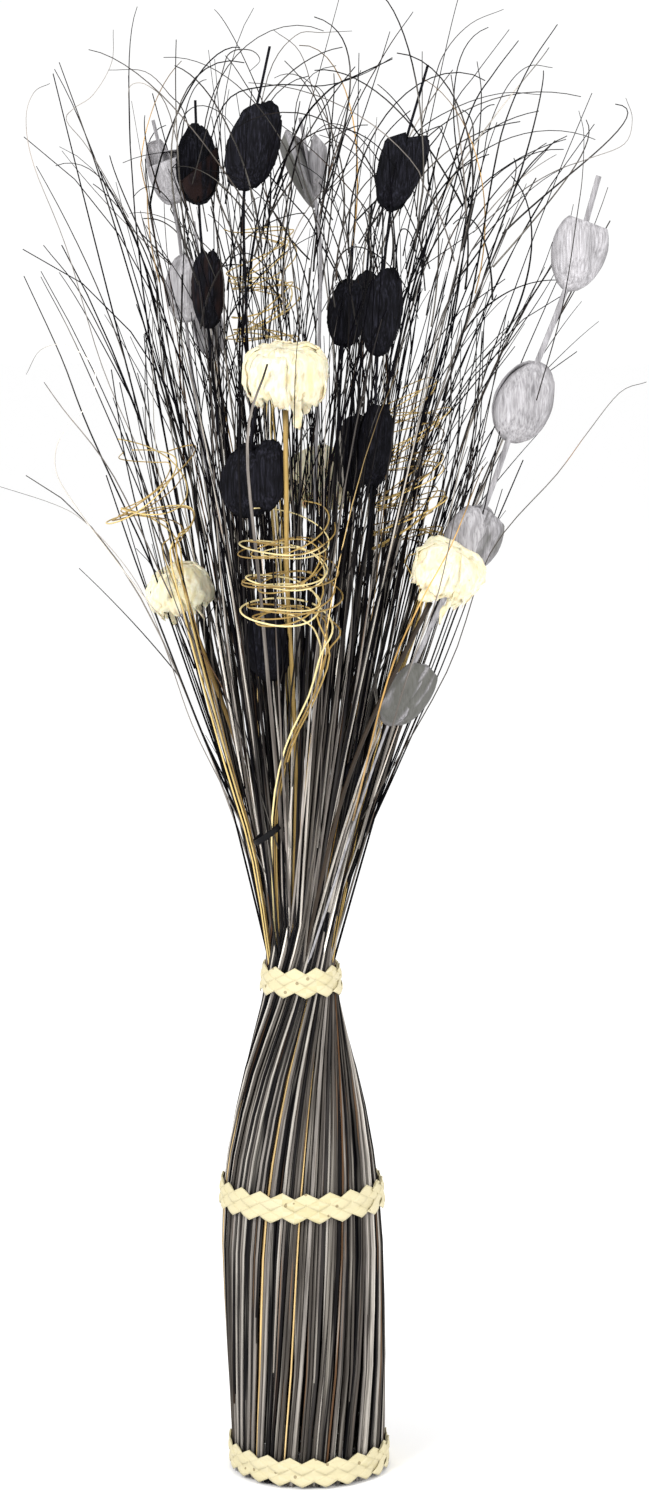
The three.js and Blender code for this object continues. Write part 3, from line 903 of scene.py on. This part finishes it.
def make_braid(node, material):
    """A flat plait of palm leaf: strips climb both ways between the teeth of the band's edges."""
    body = new_body()
    body.loops.layers.uv.new("UVMap")
    teeth = BAND_TEETH[node]
    middle = centre_of(node).z
    half = size_of(node).z / 5
    rows = 4
    pitch = 2 * math.pi / teeth
    for k in range(teeth):
        tone = clamp(dice.gauss(0.6, 0.22))
        leaf_strip(body, k * pitch, 1, rows, teeth, middle, half, 0, 0, tone)
        tone = clamp(dice.gauss(0.6, 0.22))
        leaf_strip(body, (k + 0.5) * pitch, -1, rows, teeth, middle, half, 1, 0, tone)
    joint = math.radians(-38)
    for k in range(2):
        start = joint + k * pitch
        leaf_strip(body, start, 1, rows, teeth, middle - 0.0006, half, 0, 0.0012, 0.8)
        leaf_strip(body, start + pitch / 2, -1, rows, teeth, middle - 0.0006, half, 1, 0.0012, 0.5)
    finish_piece(node + "_plait", body, material, node)


# ---- buds and spears ----


class Petal(NamedTuple):
    """One petal of a bud: how far it is turned round the stalk, and leans to the side and outwards, in
    degrees; how far it is moved across and up, in millimetres; its shares of the bud's width and
    height; where its top is cut off and the slope of the cut; its taper; and its tone."""

    turn: float = 0
    lean: float = 0
    open: float = 0
    across: float = 0
    up: float = 0
    wide: float = 1
    tall: float = 1
    cut: float = 1.3
    slope: float = 0
    taper: float = 0.1
    tone: float = 0.7


def petal(width, height, bulge, shape, ragged):
    """An oval petal that bulges towards -Y, with grain and soft ridges along it. Its rim is stored, to
    be darkened, and its ridges and bulges are painted lighter in its tone, as painted highlights."""
    bm = new_body()
    seed = dice.uniform(0, 90)
    ridges = [dice.uniform(-0.75, 0.75) for _ in range(4)]
    bmesh.ops.create_grid(bm, x_segments=16, y_segments=20, size=1)
    for v in bm.verts:
        x, z = v.co.x, v.co.y
        disc = Vector((x * math.sqrt(1 - z * z / 2), z * math.sqrt(1 - x * x / 2)))
        reach = max(abs(x), abs(z))
        angle = math.atan2(disc.y, disc.x)
        torn = noise.noise(Vector((math.cos(angle) * 3.2, math.sin(angle) * 3.2, seed)))
        torn += noise.noise(Vector((math.cos(angle) * 12, math.sin(angle) * 12, seed))) * 0.8
        disc *= 1 + ragged * torn * reach**6
        cut = shape.cut + shape.slope * disc.x
        high = disc.y if disc.y < cut else cut + 0.03 * (disc.y - cut)
        fold = sum(math.exp(-(((disc.x - c * (1 - 0.3 * disc.y)) / 0.07) ** 2)) for c in ridges)
        wave = noise.noise(Vector((disc.x * 2.1, disc.y * 2.1, seed + 9)))
        deep = (1 - reach * reach) * (1 + 0.07 * fold + 0.25 * wave)
        narrow = 1 - shape.taper * disc.y - 0.06 * disc.y * disc.y
        v.co = Vector((disc.x * narrow * width / 2, -bulge * deep, high * height / 2))
        v[bm.verts.layers.float["fade"]] = reach if high == disc.y else max(reach, 0.9)
        # Besides the petal's own dye, tone holds painted highlights on the ridges and bulges and painted
        # shade between them.
        v[bm.verts.layers.float["tone"]] = clamp(shape.tone + 0.22 * fold - 0.12 + 0.25 * wave)
    bmesh.ops.remove_doubles(bm, verts=bm.verts, dist=0.00012)
    bmesh.ops.dissolve_degenerate(bm, edges=bm.edges, dist=0.00005)
    walled(bm, 0.0006, lambda face: -face.normal.y)
    return bm


CLOSED_BUD = (Petal(), Petal(turn=180, wide=0.97, tone=0.5))
BACK = Petal(turn=180, wide=0.94, tall=0.97, tone=0.4)
NARROW_BACK = Petal(turn=180, wide=0.74, tall=0.97, tone=0.4)
BUDS = {
    "bud_01_a": (
        Petal(across=-2, lean=6, wide=0.6, cut=0.85, slope=0.1, tone=0.08),
        Petal(across=2, up=1, lean=14, wide=0.56, tall=0.95, cut=0.85, slope=-0.1, tone=0.02),
        Petal(turn=180, lean=-10, wide=0.56, tall=0.9, tone=0.1),
    ),
    "bud_01_b": (
        Petal(across=-2, lean=-3, wide=0.85, cut=0.85, slope=0.1, tone=0.5),
        Petal(across=3, up=1, lean=7, wide=0.8, tall=0.98, cut=0.8, slope=-0.1, tone=0.28),
        BACK,
    ),
    "bud_01_c": (
        Petal(across=-2, lean=5, wide=0.92, tone=0.7),
        Petal(across=2, up=1, lean=8, open=-4, wide=0.82, tall=0.97, tone=0.35),
        BACK,
    ),
    "bud_01_d": (
        Petal(cut=0.68, taper=-0.08, wide=1.04, tall=1.06, tone=0.9),
        Petal(turn=180, cut=0.6, taper=-0.08),
    ),
    "bud_02_b": (
        Petal(across=4, cut=0.2, slope=0.1, taper=0, tone=0.6),
        Petal(turn=180, across=1, open=5, lean=6, wide=0.6, cut=0.8, tone=0.8),
        Petal(turn=180, across=-5, open=3, lean=-5, wide=0.6, cut=0.45, tone=0.4),
    ),
    "bud_03_a": (
        Petal(
            lean=-13, across=-1, open=-3, wide=0.4, tall=1.04, cut=0.86, slope=0.3, taper=-0.2, tone=0.14
        ),
        Petal(lean=11, across=1, wide=0.36, tall=0.82, cut=0.8, slope=-0.3, taper=-0.1, tone=0.4),
        Petal(turn=180, lean=5, open=2, wide=0.42, tall=0.78, tone=0.2),
    ),
    "bud_04_b": (
        Petal(turn=180, open=3, wide=0.98, tall=1.04, tone=0.7),
        Petal(turn=15, open=3, wide=0.86, cut=0.0, slope=0.5, taper=0, tone=0.15),
    ),
    "bud_04_a": (
        Petal(wide=0.76, tone=0.3),
        Petal(across=2, open=-3, lean=6, wide=0.66, tone=0.25),
        NARROW_BACK,
    ),
    "bud_05_a": (
        Petal(across=-2, lean=3, wide=0.82, tone=0.85),
        Petal(across=1, up=2.5, lean=7, open=-3, wide=0.74, tone=0.45),
        Petal(turn=180, lean=-5, wide=0.76, tall=0.97, tone=0.4),
    ),
    "bud_06_b": (
        Petal(across=-1, wide=0.8, tone=0.5),
        Petal(across=2, lean=6, open=-3, wide=0.7, tone=0.45),
        BACK,
    ),
    "bud_06_c": (
        Petal(wide=0.8, tone=0.55),
        Petal(across=1, up=1, open=-3, lean=6, wide=0.72, tone=0.4),
        NARROW_BACK,
    ),
    "bud_06_d": (
        Petal(across=1, up=2, lean=7, wide=0.6, cut=0.82, slope=0.2, taper=-0.05, tone=0.85),
        Petal(across=-4, lean=-4, open=-2, wide=0.56, tall=0.98, cut=0.8, slope=0.2, taper=-0.05, tone=0.5),
        Petal(turn=180, wide=0.7, cut=0.55, tone=0.4),
    ),
    "bud_08_b": (
        Petal(across=-3, up=-2, wide=0.88, tall=0.94, tone=0.7),
        Petal(across=6, up=3, lean=9, open=-3, wide=0.74, tone=1.0),
        BACK,
    ),
    "bud_09_b": (
        Petal(up=-8, wide=0.8, tall=0.68),
        Petal(turn=180, up=-8, wide=0.78, tall=0.66, tone=0.5),
    ),
}
RAGGED = {"grey_petal": 0.015, "black_petal": 0.06}  # how torn the rims are, as a share of a petal
SPEAR_WIDTHS = {1: 0.0027, 2: 0.0016, 3: 0.0016, 8: 0.002}


def on_line(line, z):
    """The point of a centre line at a height, and its direction there."""
    for low, high in zip(line, line[1:]):
        if high.z >= z:
            break
    return low.lerp(high, (z - low.z) / (high.z - low.z)), (high - low).normalized()


def upright_along(ahead):
    """The turn that lays the upright axis along a direction."""
    return Vector((0, 0, 1)).rotation_difference(ahead).to_matrix().to_4x4()


def bud_size(node):
    """Width and height of a bud: its box is turned with the petals, so undo the turn."""
    size = size_of(node)
    return max(math.hypot(size.x, size.y) * 0.96, 0.011), size.z * 1.06


def bud_facing(centre):
    """How far a bud is turned from the front, as the frame's is."""
    if centre.y < 0.06:
        return math.atan2(centre.x, abs(centre.y) + 0.02) / 3
    side = math.atan2(centre.x, -centre.y)
    return side - math.copysign(0.3, side)


def make_bud(node, line, material, slot):
    centre = centre_of(node)
    _, ahead = on_line(line, centre.z)
    width, height = bud_size(node)
    facing = bud_facing(centre)
    stand = Matrix.Translation(centre) @ upright_along(ahead) @ Matrix.Rotation(facing, 4, "Z")
    body = new_body()
    bulge = 0.16 * width + 0.0016
    ragged = RAGGED[slot]
    foot = Matrix.Translation((0, 0, -height / 2))
    for shape in BUDS.get(node, CLOSED_BUD):
        bm = petal(width * shape.wide, height * shape.tall, bulge, shape, ragged)
        opened = foot @ Matrix.Rotation(math.radians(shape.open), 4, "X") @ foot.inverted()
        sideways = math.radians(shape.lean + dice.uniform(-2, 2))
        lean = foot @ Matrix.Rotation(sideways, 4, "Y") @ foot.inverted()
        moved = Matrix.Translation((shape.across / 1000, 0, shape.up / 1000))
        place = stand @ Matrix.Rotation(math.radians(shape.turn), 4, "Z")
        bmesh.ops.transform(bm, matrix=place @ moved @ lean @ opened, verts=bm.verts)
        add_to(body, bm)
    finish_piece(node + "_petals", body, material, node)


GREY_SPEARS = (1, 2, 3, 10)


def make_spears(black, grey):
    for node in nodes_named("spear_"):
        number = int(node[-2:])
        material, slot = (grey, "grey_petal") if number in GREY_SPEARS else (black, "black_petal")
        line = centre_line(node)
        path = smooth_path(line, 4)
        width = SPEAR_WIDTHS.get(number, 0.0012)
        radii = [mix(0.0011, width, ease(0.5, 0.62, point.z)) for point in path]
        body = new_body()
        add_tube(body, path, radii, 8, 0.4, 0.2, flat=0.45)
        finish_piece(node + "_stalk", body, material, node)
        for bud in nodes_named(f"bud_{number:02d}"):
            make_bud(bud, line, material, slot)


# ---- flowers ----

# The dome's outline from its rim up to its crown: heights and radii.
DOME = (
    (-0.0145, -0.010, -0.004, 0.004, 0.011, 0.016, 0.019, 0.0205),
    (0.0225, 0.0245, 0.0258, 0.0255, 0.0235, 0.0185, 0.011, 0.002),
)
DOME_SHARES = (0, 0.14, 0.3, 0.5, 0.65, 0.78, 0.9, 1.0)
WRAPS = 9
INNER_WRAPS = 3
INNER_STEP = 2.1  # radians between the inner ones


def wrap_petal(azimuth, tuck, half_angle, top, seed):
    """A crumpled petal that wraps part of the dome, from the ragged rim up to top, its share of the
    way to the crown. tuck is how far it lies under its neighbours."""
    bm = new_body()
    bmesh.ops.create_grid(bm, x_segments=14, y_segments=14, size=1)
    for v in bm.verts:
        across, up = v.co.x, top * (v.co.y + 1) / 2
        radius = np.interp(up, DOME_SHARES, DOME[1])
        height = np.interp(up, DOME_SHARES, DOME[0])
        low = (1 - up) ** 2
        ragged = noise.noise(Vector((across * 4, seed, 0))) * 0.007 + 0.003 * math.cos(across * 3.1 + seed)
        pleat = math.sin(across * 5.5 + seed + 2.5 * up) * (0.35 + 0.65 * low)
        crease = noise.noise(Vector((across * 5.5, up * 6, seed)))
        out = radius - tuck + 0.0008 * pleat + 0.0022 * crease
        v.co = polar(max(out, 0.0008), azimuth + across * half_angle, height + ragged * low)
        # Painted shade and light: tone falls in the hollows of the pleats and creases and rises towards the
        # crown, as painted light on the top.
        v[bm.verts.layers.float["tone"]] = clamp(0.5 + 0.25 * pleat + 0.8 * crease + 0.2 * up)
    walled(bm, 0.0006, lambda face: 0)
    return bm


def crumple(bm, seed):
    """Pushes a petal about, so that no two sides of a flower are alike."""
    for v in bm.verts:
        wide = noise.noise_vector(v.co * 48 + Vector((seed, 0, 0)))
        fine = noise.noise_vector(v.co * 170 + Vector((0, seed, 0)))
        v.co += wide * 0.0046 + fine * 0.0017


def hanging_lobe(azimuth, wide, length, seed):
    """A torn lobe or strip of leaf that hangs from under the dome's rim."""
    bm = new_body()
    bmesh.ops.create_grid(bm, x_segments=6, y_segments=9, size=1)
    for v in bm.verts:
        across, down = v.co.x, (v.co.y + 1) / 2
        torn = 1 - 0.35 * abs(across) ** 2.5 + 0.3 * noise.noise(Vector((across * 2.5, seed, 3)))
        out = 0.0205 - 0.004 * down + 0.0015 * noise.noise(Vector((across * 2, down * 3, seed)))
        curl = 0.0018 * math.sin(across * 2.6 + seed)
        narrow = 1 - 0.35 * down**2
        angle = azimuth + across * wide * narrow / 0.02 + 0.12 * down * math.sin(seed)
        v.co = polar(out + curl, angle, -0.010 - down * length * torn)
        # Painted shade: the lobe is painted darker where it curls in and paler where it curls out.
        v[bm.verts.layers.float["tone"]] = clamp(0.6 + 0.8 * curl / 0.0018 * 0.3)
    walled(bm, 0.0005, lambda face: 0)
    return bm


# The lobes that hang from each flower: azimuth in degrees, half width and length in millimetres.
LOBES = {
    "flower_01": [
        (-65, 4.5, 20), (-100, 6, 9), (-40, 5, 11), (30, 6, 12), (90, 6, 14), (160, 7, 12), (-150, 6, 8),
    ],
    "flower_02": [
        (-125, 8, 17), (-60, 4.5, 25), (-95, 6, 13), (-20, 6, 14), (60, 7, 13), (140, 7, 14),
    ],
    "flower_03": [
        (-120, 5, 16), (-75, 6, 12), (-45, 5, 19), (20, 7, 13), (90, 7, 15), (170, 6, 13),
    ],
    "flower_04": [(-100, 7, 15), (-40, 6, 18), (30, 6, 12), (90, 6, 16), (160, 7, 12)],
}


def make_flower(node, stem_node, pith, reed, shade, size):
    stem = centre_line(stem_node)
    body = new_body()
    path = smooth_path(stem, 4)
    add_tube(body, path, [mix(0.0011, 0.0017, k / len(path)) for k in range(len(path))], 8, shade, 1.0)
    finish_piece(stem_node + "_reed", body, reed, stem_node)

    ahead = (stem[-1] - stem[-2]).normalized()
    place = Matrix.Translation(centre_of(node)) @ upright_along(ahead) @ Matrix.Scale(size, 4)
    body = new_body()
    made = []
    seed = dice.uniform(0, 50)
    for k in range(WRAPS):
        azimuth = 2 * math.pi * k / WRAPS + dice.uniform(-0.2, 0.2)
        top = 1.0 if k % 2 else dice.uniform(0.75, 0.95)
        half_angle = dice.uniform(0.45, 0.62)
        made.append(wrap_petal(azimuth, 0.0015 * (k % 2), half_angle, top, dice.uniform(0, 50)))
    for k in range(INNER_WRAPS):
        made.append(wrap_petal(INNER_STEP * k, 0.0034, 1.15, 1.0, dice.uniform(0, 50)))
    for azimuth, wide, length in LOBES[node]:
        made.append(hanging_lobe(math.radians(azimuth), wide / 1000, length / 1000, dice.uniform(0, 50)))
    for bm in made:
        crumple(bm, seed)
        bmesh.ops.transform(bm, matrix=place, verts=bm.verts)
        add_to(body, bm)
    finish_piece(node + "_head", body, pith, node)


# ---- curled reeds ----

# Foot and via points of each reed's climb, then its coil: middle, radius, first angle in degrees,
# heights, turns, looseness, tone, and how steadily it climbs: 0 is in steps and 1 is a plain spiral.
CURLS = {
    "curled_reed_01": (
        [(-0.0174, -0.0053, 0.322), (-0.022, -0.020, 0.390), (-0.0225, -0.038, 0.462),
         (-0.0134, -0.060, 0.511), (0.0027, -0.080, 0.548), (0.011, -0.097, 0.577)],
        (-0.012, -0.104), 0.029, 0, (0.604, 0.668), 3, 1.0, 0.75, 0.0,
    ),
    "curled_reed_02": (
        [(0.0089, -0.0058, 0.322), (0.042, -0.018, 0.500), (0.074, -0.038, 0.600)],
        (0.066, -0.034), 0.025, -80, (0.640, 0.742), 4, 1.3, 0.5, 0.75,
    ),
    "curled_reed_03": (
        [(-0.0046, 0.0049, 0.322), (-0.014, -0.008, 0.560), (-0.026, -0.012, 0.720)],
        (-0.030, -0.002), 0.025, -70, (0.772, 0.862), 2.6, 1.4, 0.62, 0.5,
    ),
    "curled_reed_04": (
        [(-0.0215, 0, 0.322), (-0.036, -0.027, 0.430), (-0.054, -0.044, 0.500), (-0.079, -0.056, 0.600)],
        (-0.104, -0.040), 0.024, -35, (0.652, 0.712), 1.4, 1.2, 0.6, 0.5,
    ),
}
STRANDS = 5


def stairs(turns):
    """How many turns' worth a coil has risen: it climbs on its right side and lies flat on its left."""
    whole = math.floor(turns + 0.25)
    return whole - 1 + ease(0, 0.5, turns + 0.25 - whole)


def make_curl(node, material):
    """A bunch of split reeds that climb side by side, then go round in loose, uneven loops."""
    climb, middle, radius, first, (low, high), turns, loose, tone, steady = CURLS[node]
    body = new_body()
    for k in range(STRANDS):
        spread = polar(0.0017, 2 * math.pi * k / STRANDS)
        points = [Vector(p) + spread * mix(0.6, 1.9, n / (len(climb) - 1)) for n, p in enumerate(climb)]
        own_turns = turns + dice.uniform(-0.35, 0.5)
        size = radius * dice.uniform(0.72, 1.08)
        shift = dice.uniform(-0.25, 0.25) * (1 + 3 * steady)
        tilt, lean = dice.uniform(-0.16, 0.2) * (1 + 2 * steady), dice.uniform(-0.05, 0.22)
        steps = round(12 * own_turns)
        for j in range(steps + 1):
            around = own_turns * j / steps
            angle = math.radians(first) + shift + 2 * math.pi * around
            own = noise.noise_vector(Vector((around * 1.6, 7 * k, 5)))
            flat = polar(size * (1 + 0.45 * own.x), angle)
            climbed = mix(stairs(around), around, steady)
            rise = low + (high - low) / turns * climbed + 0.009 * loose * own.z
            points.append(Vector((
                middle[0] + flat.x + 0.004 * loose * own.y,
                middle[1] + flat.y,
                rise + tilt * flat.x + lean * flat.y,
            )))
        path = smooth_path(points, 3)
        thick = dice.uniform(0.00048, 0.0006) * mix(1, 0.75, steady)
        radii = [thick * mix(1.15, 0.85, j / len(path)) for j in range(len(path))]
        add_tube(body, path, radii, 5, clamp(tone + dice.uniform(-0.25, 0.3)), 1.0)
    finish_piece(node + "_strands", body, material, node)


# ---- strap ----


STRAP_RADIUS = 0.0102
STRAP_HALF_WIDTH = 0.0021
STRAP_SLANT = -0.62  # radians from level
STRAP_STEPS = 28


def make_strap(material):
    """A flat strap drawn round some of the stems, with its two ends past the joint."""
    middle = centre_of("strap") - Vector((0.004, 0, 0))
    slant = Matrix.Rotation(STRAP_SLANT, 3, "Y")
    turns = [2 * math.pi * k / STRAP_STEPS for k in range(STRAP_STEPS + 1)]
    ring = [middle + slant @ polar(STRAP_RADIUS, turn) for turn in turns]
    body = new_body()
    upright = slant @ Vector((0, 0, 1))
    add_tube(body, ring, [STRAP_HALF_WIDTH] * len(ring), 8, 0.3, 1.0, flat=0.3, side=upright)
    for lean in (-1, 1):
        end = [ring[0], ring[0] + Vector((0.003, -0.002 * lean, 0.003 * lean))]
        end.append(ring[0] + Vector((0.005, -0.003 * lean, 0.007 * lean)))
        tail = smooth_path(end, 4)
        add_tube(body, tail, [0.0013] * len(tail), 6, 0.3, 1.0, flat=0.6)
    finish_piece("strap_tie", body, material, "strap")


# ---- the surroundings ----


def pale_floor():
    """A pale floor that runs out of sight."""
    bm = bmesh.new()
    bmesh.ops.create_circle(bm, cap_ends=True, segments=64, radius=60)
    material = start_material("Paper", 0.9, Specular_IOR_Level=0.1, Base_Color=(0.97, 0.97, 0.97, 1))[0]
    floor = mesh_object("floor", bm, material)


def aimed(item, location, target):
    """Stands a light or a camera somewhere and points it at a target."""
    item.location = location
    item.rotation_euler = (Vector(target) - Vector(location)).to_track_quat("-Z", "Y").to_euler()


def area_light(name, location, target, size, power, colour):
    data = bpy.data.lights.new(name, "AREA")
    data.size = size
    data.energy = power
    data.color = colour
    aimed(put_in_scene(name, data), location, target)


def light_and_camera():
    scene = bpy.context.scene
    world = bpy.data.worlds.new("Studio")
    world.use_nodes = True
    world.node_tree.nodes["Background"].inputs["Color"].default_value = (1, 1, 1, 1)
    world.node_tree.nodes["Background"].inputs["Strength"].default_value = 1.03
    scene.world = world
    area_light("Key", (-1.9, -2.2, 2.2), (0, 0, 0.5), 1.2, 78, (1, 0.99, 0.98))
    area_light("Fill", (2.0, -1.8, 1.2), (0, 0, 0.5), 2.0, 40, (1, 0.98, 0.97))
    scene.view_settings.view_transform = "Standard"
    data = bpy.data.cameras.new("Camera")
    data.lens = 81.93
    data.sensor_width = 36
    data.clip_end = 50
    scene.camera = put_in_scene("Camera", data)
    aimed(scene.camera, (0.011, -2.3, 0.8), (0.011, 0, 0.5023))


# ---- build ----

straw = straw_material()
palm = palm_material()
black_petals = petal_material("Black petals", "08080a", "141419", "2a2a33", "271b19", 0.04)
grey_petals = petal_material("Grey petals", "868487", "a8a6a9", "bcbbbf", "55564f", 0.12)
pith = flower_material()
reed = reed_material()

make_stems(straw)
for band in BAND_TEETH:
    make_braid(band, palm)
make_spears(black_petals, grey_petals)
for number, shade, size in ((1, 0.6, 1.0), (2, 0.05, 0.88), (3, 0.45, 0.82), (4, 0.2, 1.0)):
    make_flower(f"flower_{number:02d}", f"flower_stem_{number:02d}", pith, reed, shade, size)
for curl in CURLS:
    make_curl(curl, reed)
make_strap(strap_material())
pale_floor()
light_and_camera()
